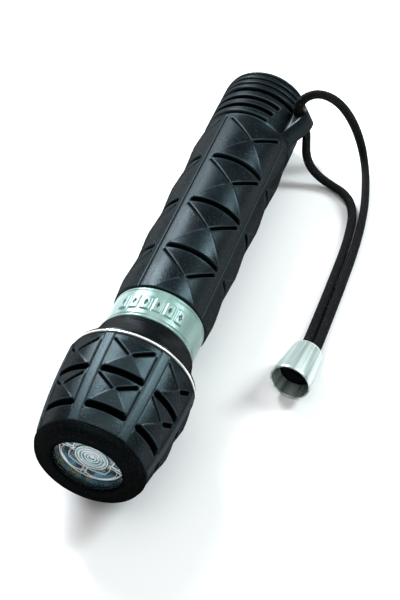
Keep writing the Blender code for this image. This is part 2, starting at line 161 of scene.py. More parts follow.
class Paint:
    """A Principled material with the few node chains that the flashlight's materials share."""

    def __init__(self, name, roughness, metallic=0.0):
        self.material = plain_material(name, (0.5, 0.5, 0.5), roughness, metallic)
        self.nodes = self.material.node_tree.nodes
        self.links = self.material.node_tree.links
        self.shader = self.nodes["Principled BSDF"]
        self.coords = self.nodes.new("ShaderNodeTexCoord").outputs["Object"]

    def set(self, socket, value):
        self.shader.inputs[socket].default_value = value

    def link(self, output, socket):
        self.links.new(output, self.shader.inputs[socket])

    def split_coords(self):
        split = self.nodes.new("ShaderNodeSeparateXYZ")
        self.links.new(self.coords, split.inputs["Vector"])
        return split.outputs

    def stretched(self, scale):
        """Object coordinates, stretched by a factor along each axis."""
        mapping = self.nodes.new("ShaderNodeMapping")
        mapping.inputs["Scale"].default_value = scale
        self.links.new(self.coords, mapping.inputs["Vector"])
        return mapping.outputs["Vector"]

    def around(self, turns, lengths):
        """Coordinates round the local Y axis and along it, for painted reflection streaks on a turned piece.
        """
        axes = self.split_coords()
        angle = self.math("ARCTAN2", axes["X"], axes["Z"])
        join = self.nodes.new("ShaderNodeCombineXYZ")
        self.links.new(self.math("MULTIPLY", self.math("COSINE", angle), turns), join.inputs["X"])
        self.links.new(self.math("MULTIPLY", self.math("SINE", angle), turns), join.inputs["Y"])
        self.links.new(self.math("MULTIPLY", axes["Y"], lengths), join.inputs["Z"])
        return join.outputs["Vector"]

    def math(self, operation, first, second=None):
        node = self.nodes.new("ShaderNodeMath")
        node.operation = operation
        for socket, value in zip(node.inputs, (first, second)):
            if isinstance(value, (int, float)):
                socket.default_value = value
            elif value is not None:
                self.links.new(value, socket)
        return node.outputs["Value"]

    def noise(self, vector, scale, detail, roughness=0.5):
        node = self.nodes.new("ShaderNodeTexNoise")
        node.inputs["Scale"].default_value = scale
        node.inputs["Detail"].default_value = detail
        node.inputs["Roughness"].default_value = roughness
        self.links.new(vector, node.inputs["Vector"])
        return node.outputs["Fac"]

    def cells(self, vector, scale):
        node = self.nodes.new("ShaderNodeTexVoronoi")
        node.inputs["Scale"].default_value = scale
        self.links.new(vector, node.inputs["Vector"])
        return node.outputs["Distance"]

    def attribute(self, name):
        node = self.nodes.new("ShaderNodeAttribute")
        node.attribute_name = name
        return node.outputs["Fac"]

    def spread(self, value, low, high, to_low, to_high):
        """The value, mapped from one range to another and clamped."""
        node = self.nodes.new("ShaderNodeMapRange")
        self.links.new(value, node.inputs["Value"])
        for socket, number in zip(("From Min", "From Max", "To Min", "To Max"), (low, high, to_low, to_high)):
            node.inputs[socket].default_value = number
        return node.outputs["Result"]

    def mix(self, factor, first, second):
        node = self.nodes.new("ShaderNodeMix")
        node.data_type = "RGBA"
        self.links.new(factor, node.inputs["Factor"])
        for socket, value in ((node.inputs[6], first), (node.inputs[7], second)):
            if isinstance(value, tuple):
                socket.default_value = (*value, 1.0)
            else:
                self.links.new(value, socket)
        return node.outputs[2]

    def blend(self, value, low, high, first, second, most=1.0):
        """The first colour below the low value, up to the most of the second above the high one."""
        return self.mix(self.spread(value, low, high, 0.0, most), first, second)

    def bump(self, height, strength, distance):
        node = self.nodes.new("ShaderNodeBump")
        node.inputs["Strength"].default_value = strength
        node.inputs["Distance"].default_value = distance
        self.links.new(height, node.inputs["Height"])
        return node.outputs["Normal"]

    def dull_when_glancing(self, shine):
        """A gloss that fades where the surface turns edge-on, so that the floor doesn't grey the sides."""
        weight = self.nodes.new("ShaderNodeLayerWeight")
        weight.inputs["Blend"].default_value = 0.5
        head_on = self.math("SUBTRACT", 1.0, weight.outputs["Facing"])
        return self.math("MULTIPLY", self.math("POWER", head_on, 3.5), shine)


def rubber_material(name, land, roughness, grain, shine):
    """Moulded rubber: fine grain, cloudy colour, painted shade in the grooves and painted highlights on rims,
    ridges and strips.
    """
    paint = Paint(name, roughness)
    cloud = paint.noise(paint.coords, 60.0, 4.0)
    speck = paint.noise(paint.coords, 1350.0, 2.0, 0.7)
    dark = tuple(0.5 * c for c in land)
    # pale is the colour of the grain's specks and of the painted highlights
    pale = tuple(7.0 * c + 0.02 for c in land)
    colour = paint.blend(cloud, 0.35, 0.68, dark, land)
    colour = paint.blend(speck, 0.58, 0.70, colour, pale, 0.55)
    # painted highlight: groove rims, tread ridges and head strips are painted paler, as where they catch the
    # light
    colour = paint.mix(paint.attribute("painted_highlight"), colour, pale)
    # painted shade: the grooves are painted near-black, as if in shadow, and they also lose their gloss
    colour = paint.mix(paint.attribute("painted_groove_shade"), colour, (0.0008, 0.001, 0.001))
    paint.link(colour, "Base Color")
    worn = paint.spread(cloud, 0.3, 0.7, roughness - 0.05, roughness + 0.08)
    paint.link(paint.math("ADD", worn, paint.math("MULTIPLY", paint.attribute("painted_groove_shade"), 0.4)), "Roughness")
    land_only = paint.math("SUBTRACT", 1.0, paint.attribute("painted_groove_shade"))
    paint.link(paint.math("MULTIPLY", land_only, paint.dull_when_glancing(shine)), "Specular IOR Level")
    paint.set("Specular Tint", COOL_SHEEN)
    paint.link(paint.bump(speck, grain, 0.0003), "Normal")
    return paint.material


def gloss_plastic_material(name, colour, roughness):
    """Dark moulded plastic: nearly even, with faint orange peel and fine scratches."""
    paint = Paint(name, roughness)
    peel = paint.noise(paint.coords, 420.0, 2.0)
    cloud = paint.noise(paint.coords, 45.0, 3.0)
    dark = tuple(0.7 * c for c in colour)
    paint.link(paint.blend(cloud, 0.3, 0.7, dark, colour), "Base Color")
    scratches = paint.noise(paint.stretched((2600.0, 90.0, 2600.0)), 1.0, 2.0)
    paint.link(paint.spread(scratches, 0.3, 0.75, roughness - 0.05, roughness + 0.10), "Roughness")
    paint.link(paint.dull_when_glancing(0.45), "Specular IOR Level")
    paint.set("Specular Tint", COOL_SHEEN)
    paint.link(paint.bump(peel, 0.08, 0.0002), "Normal")
    return paint.material


def silver_material(name, bright, shade, roughness, metallic):
    """Pale silver-green lacquer over plastic: painted reflection bands along the length, metal flake and a
    clear coat.
    """
    paint = Paint(name, roughness, metallic)
    reflection_bands = paint.noise(paint.around(2.6, 12.0), 1.0, 2.0, 0.6)
    flake = paint.noise(paint.coords, 5200.0, 1.0)
    cloud = paint.noise(paint.coords, 90.0, 3.0)
    # painted reflection: streaks along the length, between the lit and the shaded tone
    colour = paint.blend(reflection_bands, 0.36, 0.64, shade, bright)
    colour = paint.blend(flake, 0.62, 0.80, colour, (0.95, 1.0, 0.98), 0.35)
    # painted shade: the recesses in the ring's blocks are painted near-black
    colour = paint.mix(paint.attribute("recess"), colour, (0.03, 0.05, 0.05))
    paint.link(colour, "Base Color")
    paint.link(paint.spread(cloud, 0.3, 0.7, roughness - 0.06, roughness + 0.08), "Roughness")
    paint.set("Coat Weight", 0.35)
    paint.set("Coat Roughness", 0.12)
    paint.link(paint.bump(flake, 0.06, 0.00005), "Normal")
    return paint.material


def metal_material(name, colour, roughness):
    """Bare metal with turning marks or drawing lines."""
    paint = Paint(name, roughness, 1.0)
    lines = paint.noise(paint.stretched((40.0, 2400.0, 40.0)), 1.0, 3.0, 0.6)
    stain = paint.noise(paint.coords, 130.0, 4.0)
    dull = tuple(0.82 * c for c in colour)
    paint.link(paint.blend(stain, 0.35, 0.7, dull, colour), "Base Color")
    paint.link(paint.spread(lines, 0.25, 0.75, 0.7 * roughness, 1.5 * roughness), "Roughness")
    paint.link(paint.bump(lines, 0.10, 0.00005), "Normal")
    return paint.material


def mirror_material():
    """Metallised plastic: painted white highlights on its ribs and deep teal painted reflections between, as
    of a dark room.
    """
    paint = Paint("mirror", 0.07, 1.0)
    cloud = paint.noise(paint.coords, 170.0, 3.0, 0.6)
    waves = paint.noise(paint.coords, 900.0, 2.0)
    # painted reflection: teal clouds with pale patches, as of a dark room and bright lamps
    painted_reflection = paint.blend(cloud, 0.36, 0.62, (0.003, 0.028, 0.050), (0.04, 0.17, 0.24))
    painted_reflection = paint.blend(cloud, 0.66, 0.70, painted_reflection, (0.36, 0.56, 0.60))
    # painted reflection: warm patches on the wall
    painted_reflection = paint.mix(paint.attribute("painted_warm_reflection"), painted_reflection, (0.20, 0.19, 0.09))
    line = paint.attribute("line")
    # painted highlight: the rib lines are white and less metallic
    paint.link(paint.mix(line, painted_reflection, (0.98, 1.0, 1.0)), "Base Color")
    paint.link(paint.math("SUBTRACT", 1.0, paint.math("MULTIPLY", line, 0.65)), "Metallic")
    paint.link(paint.spread(waves, 0.3, 0.7, 0.12, 0.22), "Roughness")
    return paint.material


def lens_material():
    """The middle lens: clear plastic painted milky mint as the bright bowl's light, with darker step lines as
    painted shade.
    """
    paint = Paint("lens_plastic", 0.12, 0.5)
    swirl = paint.noise(paint.coords, 260.0, 3.0)
    # painted light: the pale milky mint stands in for the bright bowl shining through the clear plastic
    painted_bowl_light = paint.blend(swirl, 0.35, 0.65, (0.52, 0.74, 0.76), (0.95, 1.0, 1.0))
    # painted shade: dark teal step lines
    paint.link(paint.mix(paint.attribute("line"), painted_bowl_light, (0.008, 0.05, 0.07)), "Base Color")
    paint.link(paint.spread(swirl, 0.3, 0.7, 0.06, 0.16), "Roughness")
    paint.set("Transmission Weight", 0.12)
    paint.set("IOR", 1.49)
    paint.set("Coat Weight", 0.8)
    paint.set("Coat Roughness", 0.04)
    return paint.material


def window_material():
    """Clear plastic with the faintest smears on it."""
    paint = Paint("window_plastic", 0.03)
    clear = (0.20, 0.26, 0.28)
    smeared = tuple(0.94 * c for c in clear)
    smear = paint.noise(paint.stretched((300.0, 300.0, 120.0)), 1.0, 4.0)
    paint.link(paint.blend(smear, 0.3, 0.7, smeared, clear), "Base Color")
    paint.link(paint.spread(smear, 0.45, 0.8, 0.03, 0.11), "Roughness")
    paint.set("Alpha", 0.06)
    paint.set("IOR", 1.49)
    return paint.material


def cord_material():
    """Black polyester braid: painted highlights on the strands' crowns, which are also shinier, and painted
    shade between.
    """
    paint = Paint("black_braid", 0.7)
    thread = paint.noise(paint.coords, 1150.0, 3.0, 0.7)
    crown = paint.attribute("crown")
    # painted shade in the valleys between strands and painted highlight on their crowns
    colour = paint.mix(crown, (0.0004, 0.0004, 0.0004), (0.003, 0.003, 0.0033))
    # painted glints: pale specks along the threads, as where fibres catch the light
    colour = paint.blend(thread, 0.60, 0.72, colour, (0.09, 0.095, 0.10), 0.6)
    paint.link(colour, "Base Color")
    paint.link(paint.spread(crown, 0.0, 1.0, 0.9, 0.55), "Roughness")
    paint.set("Specular IOR Level", 0.12)
    paint.link(paint.bump(thread, 0.5, 0.0001), "Normal")
    return paint.material


def board_material():
    """Green solder mask with faint traces."""
    paint = Paint("solder_mask", 0.4)
    traces = paint.cells(paint.coords, 500.0)
    green = paint.blend(traces, 0.25, 0.32, (0.03, 0.22, 0.10), (0.012, 0.10, 0.045))
    paint.link(green, "Base Color")
    paint.link(paint.bump(traces, 0.2, 0.00005), "Normal")
    return paint.material


def phosphor_material():
    """The emitter's yellow phosphor under a clear drop."""
    paint = Paint("led_phosphor", 0.3)
    grain = paint.noise(paint.coords, 4000.0, 3.0)
    yellow = paint.blend(grain, 0.35, 0.65, (0.75, 0.52, 0.06), (0.95, 0.80, 0.25))
    paint.link(yellow, "Base Color")
    paint.set("Coat Weight", 0.6)
    return paint.material


def cell_material():
    """A plain printed cell wrap: two tones that meet in a band along the length."""
    paint = Paint("cell_wrap", 0.3, 0.5)
    along = paint.split_coords()["Y"]
    scuff = paint.noise(paint.coords, 300.0, 4.0)
    band = paint.math("SINE", paint.math("MULTIPLY", along, 100.0))
    tones = paint.blend(band, -0.05, 0.05, (0.05, 0.06, 0.08), (0.42, 0.45, 0.48))
    paint.link(tones, "Base Color")
    paint.link(paint.spread(scuff, 0.3, 0.7, 0.22, 0.4), "Roughness")
    return paint.material


# ---- mesh tools

def torch_matrix():
    """Lays stations along the frame's own axis for the head's twist."""
    joint = next(j for j in frame["joints"] if j["name"] == "head_twist")
    axis = Vector(joint["axis"]).normalized()
    side = Vector((1, 0, 0))
    up = side.cross(axis)
    origin = Vector(joint["pos_m"]) - axis * TWIST_STATION * MM
    matrix = Matrix((side, axis, up)).transposed().to_4x4()
    matrix.translation = origin
    return matrix


TORCH = torch_matrix()


def finish_piece(mesh, material, body, stands_for=(), place=TORCH):
    """Makes the mesh an object of the same name, in place, on its body, and hides the frame's pieces that it
    stands for.
    """
    mesh.materials.append(material)
    piece = bpy.data.objects.new(mesh.name, mesh)
    bpy.context.scene.collection.objects.link(piece)
    piece.matrix_world = place
    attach(piece, body)
    if stands_for:
        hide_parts(*stands_for)
    return piece


def add_shade(mesh, name, values):
    """Gives each point a number that the material reads."""
    attribute = mesh.attributes.new(name, "FLOAT", "POINT")
    attribute.data.foreach_set("value", np.asarray(values, np.float32).ravel())


def ring_faces(index):
    """Four-sided faces between rows of point numbers, each of which goes all the way round."""
    ahead = np.roll(index, -1, axis=1)
    return np.stack([index[:-1], ahead[:-1], ahead[1:], index[1:]], axis=-1).reshape(-1, 4).tolist()


def rounded(corners, steps=5):
    """Outline points from corners of (radius, station), or with a fillet as well, which becomes an arc."""
    points = []
    count = len(corners)
    for i, corner in enumerate(corners):
        here = Vector(corner[:2])
        if len(corner) == 2:
            points.append(tuple(here))
            continue
        before = Vector(corners[i - 1][:2]) - here
        after = Vector(corners[(i + 1) % count][:2]) - here
        half = before.angle(after) / 2
        reach = min(corner[2] / math.tan(half), 0.48 * before.length, 0.48 * after.length)
        fillet = reach * math.tan(half)
        before.normalize()
        after.normalize()
        centre = here + (before + after).normalized() * (fillet / math.sin(half))
        start = here + before * reach - centre
        end = here + after * reach - centre
        sweep = start.angle(end)
        for step in range(steps + 1):
            share = step / steps
            point = (start * math.sin((1 - share) * sweep) + end * math.sin(share * sweep)) / math.sin(sweep)
            points.append(tuple(centre + point))
    return points


def turned_mesh(name, outline, segments=SEGMENTS, sharp=40.0):
    """A closed solid of revolution. The outline runs from front to back on the outside."""
    verts = []
    rows = []
    for radius, station in outline:
        if radius < 1e-6:
            rows.append([len(verts)] * segments)
            verts.append((0, station * MM, 0))
            continue
        rows.append(list(range(len(verts), len(verts) + segments)))
        for k in range(segments):
            turn = 2 * math.pi * k / segments
            verts.append((radius * math.sin(turn) * MM, station * MM, radius * math.cos(turn) * MM))
    faces = []
    for row, after in zip(rows, rows[1:] + rows[:1]):
        for k in range(segments):
            j = (k + 1) % segments
            face = []
            for vert in (row[k], row[j], after[j], after[k]):
                if vert not in face:
                    face.append(vert)
            if len(face) > 2:
                faces.append(face)
    mesh = bpy.data.meshes.new(name)
    mesh.from_pydata(verts, [], faces)
    mesh.shade_smooth()
    mesh.set_sharp_from_angle(angle=math.radians(sharp))
    return mesh


def turned_piece(name, outline, material, body, stands_for=(), segments=SEGMENTS, place=TORCH):
    """A finished piece that is one turned solid."""
    return finish_piece(turned_mesh(name, outline, segments), material, body, stands_for, place)


def grid_mesh(name, radii, stations, shades=None):
    """A closed ring-shaped mesh from rows of radii round the axis. The rows run front to back on the outside
    and then back to front on the inside. shades are values for the points, by name."""
    rows, count = radii.shape
    turns = 2 * np.pi * np.arange(count) / count
    stations = np.broadcast_to(stations, radii.shape)
    points = np.stack([radii * np.sin(turns), stations, radii * np.cos(turns)], axis=-1) * MM
    index = np.arange(rows * count).reshape(rows, count)
    mesh = bpy.data.meshes.new(name)
    mesh.from_pydata(points.reshape(-1, 3).tolist(), [], ring_faces(np.vstack([index, index[:1]])))
    for key, values in (shades or {}).items():
        add_shade(mesh, key, values)
    mesh.shade_smooth()
    mesh.set_sharp_from_angle(angle=math.radians(60))
    return mesh


def stacked_mesh(name, rows, shades=None):
    """A grid mesh from rows of (radii round the axis, station)."""
    stations = np.array([station for _, station in rows])[:, None]
    return grid_mesh(name, np.array([radii for radii, _ in rows]), stations, shades)


def shade_points(mesh, name, rule):
    """Adds a shade that is worked out from each point's radius, station and turn."""
    points = np.empty(len(mesh.vertices) * 3, np.float32)
    mesh.vertices.foreach_get("co", points)
    x, y, z = points.reshape(-1, 3).T / MM
    add_shade(mesh, name, rule(np.hypot(x, z), y, np.degrees(np.arctan2(x, z))))


def ease(values):
    values = np.clip(values, 0, 1)
    return values * values * (3 - 2 * values)


def cut(distance, half_width, wall):
    """1 inside a groove and 0 on the land, with a sloping wall between."""
    return 1 - ease((distance - half_width + wall / 2) / wall)


def bar_distance(across, along, start, end):
    """Distance from each point to a straight bar between two points, all in millimetres."""
    start = np.array(start, float)
    run = np.array(end, float) - start
    share = np.clip(((across - start[0]) * run[0] + (along - start[1]) * run[1]) / (run @ run), 0, 1)
    return np.hypot(across - start[0] - share * run[0], along - start[1] - share * run[1])


# ---- tread

class Tread:
    """A pattern that repeats round the axis: plain strips along it, and cells of a V over a slot between.
    Turns are degrees from a strip's middle, and stations are millimetres."""

    def __init__(self, turn, station, radius, sectors, first_strip):
        self.sector = 360 / sectors
        self.turn = (turn - first_strip) % self.sector
        self.station = station
        self.radius = radius
        self.across = np.radians(self.turn) * radius
        self.from_strip = np.minimum(self.turn, self.sector - self.turn)
        self.depth = np.zeros_like(radius)
        self.height = np.zeros_like(radius)
        self.ridges = np.zeros_like(radius)

    def cut(self, distance, width, depth, wall=0.5):
        self.depth = np.maximum(self.depth, depth * cut(distance, width / 2, wall))

    def bar(self, start, end, width, depth):
        """A groove between two points of (turn, station)."""
        ends = [(math.radians(turn) * self.scale(station), station) for turn, station in (start, end)]
        self.cut(bar_distance(self.across, self.station, *ends), width, depth)

    def scale(self, station):
        """The surface's mean radius at a station."""
        return float(np.interp(station, self.station[:, 0], self.radius.mean(axis=1)))

    def pyramid(self, middle, half_turn, station, rise, fall, height):
        """A low four-sided pyramid. Its ridges run out to the cell's corners, and the two in front are also
        kept as lines that are 1 along the middle."""
        side = np.abs(self.turn - middle) / half_turn
        behind = self.station - station
        ahead = -behind / fall
        away = np.where(behind > 0, behind / rise, ahead)
        self.height = np.maximum(self.height, height * np.clip(1 - np.maximum(side, away), 0, 1))
        inside = (ahead > 0.12) & (ahead < 0.97) & (side < 0.97)
        ridge = np.where(inside, cut(np.abs(side - ahead) * 0.7 * fall, 0.25, 0.3), 0)
        self.ridges = np.maximum(self.ridges, ridge)


def painted_rim_highlight(depth):
    """Where to paint a highlight: where a groove's wall meets the land, from how the depth changes."""
    slope = np.hypot(*np.gradient(depth))
    top = np.clip(1 - depth / 0.45, 0, 1)
    return np.clip(slope * 5.0, 0, 1) * top


def fine_stations(start, end, step):
    return np.linspace(start, end, max(2, round((end - start) / step) + 1))


def sleeve_mesh(name, outside, stations, round_in, inside, shades):
    """A mesh from the rows of an outer surface, with its front and back edges rounded and a plain inside,
    which is listed as (radius, station). The shades are for the outer surface."""
    count = outside.shape[1]
    lead = []
    for angle in (90, 60, 30):
        drop = round_in * (1 - math.cos(math.radians(angle)))
        pull = round_in * (1 - math.sin(math.radians(angle)))
        lead.append((drop, pull))
    front = [(outside[0] - drop, stations[0] + pull) for drop, pull in lead]
    back = [(outside[-1] - drop, stations[-1] - pull) for drop, pull in reversed(lead)]
    back += [(np.full(count, radius), station) for radius, station in inside]
    keep = (stations > stations[0] + round_in) & (stations < stations[-1] - round_in)
    rows = front + list(zip(outside[keep], stations[keep])) + back
    padding = ((len(front), len(back)), (0, 0))
    padded = {key: np.pad(values[keep], padding) for key, values in shades.items()}
    return stacked_mesh(name, rows, padded)


def build_handle_sleeve(material):
    """The rubber grip: four sectors of tread, then three grooves that stop short of the lanyard lug."""
    front, back, radius, thinnest = 81.4, 214.0, 21.0, 19.15
    stations = fine_stations(front, back, 0.36)
    count = 376
    turn, station = np.meshgrid(360 * np.arange(count) / count, stations)
    base = np.full(turn.shape, radius)
    tread = Tread(turn, station, base, 4, -26.4)
    pitch, v_top, v_drop, slot_drop = 29.8, 193.5, 12.1, 27.1
    for cell in range(4):
        top = v_top - pitch * cell
        bottom = top - v_drop
        slot = top - slot_drop
        tread.bar((8.5, top), (44.5, bottom), 0.8, 0.75)
        tread.bar((50.5, bottom + 0.4), (80.0, top - 0.6), 1.5, 1.5)
        if slot > front + 4:
            tread.bar((12.5, slot), (78.5, slot), 2.7, 1.8)
        tread.pyramid(46.0, 38.0, bottom, v_drop, slot_drop - v_drop, 0.95)
    strip_end = 195.5
    beyond = 99 * (station > strip_end)
    tread.cut(np.radians(tread.from_strip) * radius + beyond, 0.55, 0.5, 0.4)
    ribs = np.zeros_like(base)
    for low, high in ((197.0, 199.0), (202.2, 204.6), (207.9, 210.3)):
        ribs = np.maximum(ribs, 1.5 * cut(np.abs(station - (low + high) / 2), (high - low) / 2, 0.7))
    lug_turn = (turn - LUG_TURN + 180) % 360 - 180
    pad = 37.0 - (station - 197.0) * 0.75
    tread.depth = np.maximum(tread.depth, ribs * ease((np.abs(lug_turn) - pad) / 5.0))
    outside = np.maximum(base - 0.35 + tread.height + 0.12 * tread.ridges - tread.depth, thinnest)
    ribs_from, ribs_rise = 196.5, 0.3
    outside[station > ribs_from] += ribs_rise
    mesh = sleeve_mesh("handle_tread", outside, stations, 0.6, [(18.9, back), (18.9, front)], {
        # painted shade: black in the grooves
        "painted_groove_shade": ease(tread.depth / 0.6),
        # painted highlight: paler on the groove rims and along the pyramid ridges
        "painted_highlight": np.maximum(0.8 * painted_rim_highlight(tread.depth), 0.4 * tread.ridges),
    })
    finish_piece(mesh, material, "handle", ["handle_sleeve"])


def head_radius(station):
    """The head sleeve's outer radius: it swells from the bezel back to the rim."""
    front_radius, swell = 23.6, 4.2
    share = np.clip((station - HEAD_FRONT) / (HEAD_BACK - HEAD_FRONT), 0, 1)
    return front_radius + swell * np.sin(share * np.pi / 2) ** 0.8


def build_head_sleeve(material):
    """The head's rubber tread: seven sectors, with broad plain strips between them."""
    stations = fine_stations(HEAD_FRONT, HEAD_BACK, 0.3)
    count = 560
    turn, station = np.meshgrid(360 * np.arange(count) / count, stations)
    base = head_radius(station)
    tread = Tread(turn, station, base, 7, -16.2)
    for top, bottom, slot in ((45.0, 38.6, 30.1), (27.6, 21.9, 13.3)):
        tread.bar((6.5, top), (23.0, bottom), 0.9, 0.8)
        tread.bar((28.2, bottom + 0.5), (41.5, top - 0.8), 1.7, 1.6)
        tread.bar((8.6, slot), (42.6, slot), 2.8, 1.8)
        tread.bar((45.6, slot + 1.0), (45.6, top - 1.5), 0.45, 0.45)
        tread.pyramid(25.5, 19.5, bottom, top - bottom, bottom - slot, 1.05)
    strip_edge = np.abs(tread.from_strip - 4.6)
    strip_depth = np.where((station > 10) & (station < 46.5), 0.3, 0.0)
    tread.depth = np.maximum(tread.depth, strip_depth * cut(np.radians(strip_edge) * base, 0.2, 0.4))
    strip = 1 - ease((tread.from_strip - 4.0) / 1.0)
    outside = base - 0.4 + tread.height + 0.1 * tread.ridges + 0.4 * strip - tread.depth
    # painted highlight: paler on the groove rims, on the strips and along the ridges
    pale = np.maximum.reduce([0.8 * painted_rim_highlight(tread.depth), 0.6 * strip, 0.35 * tread.ridges])
    # painted shade: the tread's back rim is painted black, as the dark gap before the bright line
    painted_rim_shade = ease((station - 47.2) / 0.5)
    inside = [(24.5, HEAD_BACK), (24.5, 40.0), (20.9, HEAD_FRONT)]
    mesh = sleeve_mesh("head_tread", outside, stations, 0.5, inside, {
        # painted shade in the grooves and at the back rim
        "painted_groove_shade": np.maximum(ease(tread.depth / 0.6), painted_rim_shade),
        "painted_highlight": pale,
    })
    finish_piece(mesh, material, "head", ["head_sleeve"])


# ---- head

def build_bezel(material):
    """The thick smooth lip round the window."""
    outline = rounded([
        (14.7, 1.9), (14.9, 1.0, 0.4), (16.4, 0.0, 1.2), (19.2, 0.1, 3.0), (22.4, 1.6, 3.0),
        (23.6, 4.3, 0.6), (23.4, 4.6), (17.2, 4.6), (17.2, 1.9),
    ])
    turned_piece("bezel_lip", outline, material, "head", ["front_bezel"])


def build_window(material):
    outline = rounded([(0, 2.2), (16.8, 2.2, 0.25), (16.8, 3.7, 0.25), (0, 3.7)], 3)
    turned_piece("window_pane", outline, material, "head", ["front_window"])


def build_reflector(material):
    """The bright wall behind the window, a raised ring, and the bowl behind the petals."""
    bowl = []
    for step in range(9):
        share = step / 8
        bowl.append((12.6 - 7.4 * share, 9.0 + 9.6 * math.sin(share * math.pi / 2)))
    outline = rounded([
        (14.6, 4.0, 0.15), (15.0, 4.0, 0.1), (15.0, 5.5), (16.9, 5.5), (16.9, 8.6), (15.0, 8.6),
    ], 2)
    outline += [(radius + 1.6, station + 0.6) for radius, station in bowl[1:]]
    outline += [(5.2, 19.8)]
    outline += list(reversed(bowl))
    outline += [(13.25, 8.0), (13.25, 6.75)]
    outline += rounded([(13.25, 6.7), (13.25, 6.2, 0.25), (13.85, 6.1, 0.25), (13.9, 6.5)], 4)
    outline += [(14.0, 6.6), (14.1, 6.5), (14.3, 5.6), (14.45, 4.8)]
    mesh = turned_mesh("reflector_bowl", outline)
    # painted highlight: the raised ring's inner lip is marked for a white line
    shade_points(mesh, "line", lambda radius, station, turn: (radius < 13.95) & (station < 6.72))
    # painted reflection: warm patches on the wall's left side, with gaps between them
    shade_points(mesh, "painted_warm_reflection", lambda radius, station, turn: (
        (radius > 13.96) & (station > 4.5) & (turn < -75) & (np.abs((turn + 180) % 34 - 17) > 5)))
    finish_piece(mesh, material, "head", ["reflector"])


def build_petals(material):
    """The mirror disc round the middle lens: pairs of spokes, with a pointed and a bowed line between."""
    inner_r, outer_r, front, back = 7.4, 13.2, 6.3, 7.6
    rows, count = 40, 360
    share = np.linspace(0, 1, rows)[:, None]
    turn = (360 * np.arange(count) / count)[None, :]
    radius = inner_r + (outer_r - inner_r) * share + 0 * turn
    from_spoke = (turn - 21.0 + 45) % 90 - 45
    between = 1 - np.abs(from_spoke) / 45
    point = 11.2 - 3.0 * between ** 0.8
    bow = 12.9 - 2.4 * between ** 4
    spokes = cut(np.abs(np.abs(np.radians(from_spoke)) * radius - 0.75), 0.34, 0.15)
    ribs = np.maximum.reduce([
        spokes, cut(np.abs(radius - point), 0.28, 0.15), cut(np.abs(radius - bow), 0.24, 0.15),
    ])
    inside = ease((point - radius) / 0.4)
    hollow = 0.5 * (1 - share) + 0.9 * np.sin(np.pi * share) * (1 - between)
    dish = front + hollow - 0.45 * ribs - 0.2 * inside
    radii = np.vstack([radius, np.full((1, count), outer_r), np.full((1, count), inner_r)])
    stations = np.vstack([dish, np.full((2, count), back)])
    # painted highlight: white along the spokes and ribs, and faintly inside the pointed line
    line = np.vstack([np.maximum(ribs, 0.22 * inside), np.zeros((2, count))])
    mesh = grid_mesh("petal_mirror", radii, stations, {"line": line})
    finish_piece(mesh, material, "head", ["petal_insert"])


def build_collimator(material):
    """The middle lens: a clear cone with stepped rings on its front."""
    steps = (1.5, 2.7, 4.1, 5.3)
    outline = [(0, 6.5), (0.6, 6.55)]
    for ring_r in steps:
        outline += [(ring_r - 0.45, 6.45), (ring_r - 0.15, 5.95), (ring_r + 0.35, 5.95), (ring_r + 0.5, 6.3)]
    outline += rounded([
        (6.3, 6.2, 0.3), (6.5, 5.9, 0.2), (7.1, 5.9, 0.2), (7.1, 7.6), (5.2, 14.2, 2.0), (3.4, 18.2),
        (2.6, 18.2), (2.6, 16.2, 0.8),
    ], 3)
    outline += [(0, 15.8)]
    mesh = turned_mesh("middle_lens", outline, 96)
    # painted shade: a thin line at each step ring
    shade_points(mesh, "line", lambda radius, station, turn: (
        np.min([np.abs(radius - ring_r + 0.45) for ring_r in (*steps, 6.75)], axis=0) < 0.1))
    finish_piece(mesh, material, "head", ["collimator_lens"])


def build_trim_ring(material):
    """The thin bright line at the head's widest place."""
    outline = rounded([(22.0, 48.6), (27.6, 48.6, 0.3), (27.6, 49.5, 0.3), (22.0, 49.5)], 4)
    turned_piece("rim_line", outline, material, "head", ["trim_ring"])


def build_rear_collar(material):
    """The smooth cone behind the head, with a stepped shoulder under the bright line."""
    outline = rounded([
        (21.6, 49.8), (27.1, 49.8, 0.3), (27.0, 51.0, 0.5), (26.2, 51.7, 0.4), (25.6, 52.0, 0.4),
        (24.4, 54.2, 5.0), (22.6, 58.0, 8.0), (21.5, 61.4, 8.0), (21.1, 63.6, 0.6), (20.4, 64.3, 0.3),
        (19.0, 64.3), (19.0, 43.9), (21.6, 43.9),
    ])
    turned_piece("rear_cone", outline, material, "head", ["rear_collar"])


def build_silver_ring(material):
    """The pale ring, with two rows of plain framed blocks on opposite sides."""
    front, back, inside, radius = 64.8, 81.1, 18.9, 20.2
    stations = fine_stations(front, back, 0.3)
    count = 480
    turn, station = np.meshgrid(360 * np.arange(count) / count, stations)
    base = np.full(turn.shape, radius)
    spacing, blocks = 14.6, 6
    row = (turn - 1.0 + 90) % 180 - 90
    place = row / spacing + blocks / 2
    inside_row = (place > 0) & (place < blocks)
    across = np.abs(place % 1 - 0.5) * spacing
    along = np.abs(station - 72.6)
    sideways = np.radians(across) * radius

    out = np.hypot(np.maximum(sideways - 1.4, 0), np.maximum(along - 3.1, 0))
    block = np.where(inside_row, 1 - ease((out - 0.2) / 0.45), 0)
    recess = np.where(inside_row, 1 - ease((sideways / 0.75 + along / 1.5 - 0.8) / 0.4), 0)
    raised = 0.6 * block - 0.7 * recess
    step = 0.25 * (cut(np.abs(station - 66.3), 0.25, 0.3) + cut(np.abs(station - 79.5), 0.25, 0.3))
    outside = base + raised - step
    bore = [(inside, back), (inside, front)]
    # the recess mask also tells the material where to paint shade
    mesh = sleeve_mesh("badge_ring", outside, stations, 0.5, bore, {"recess": recess})
    finish_piece(mesh, material, "handle", ["silver_ring"])


# ---- tail

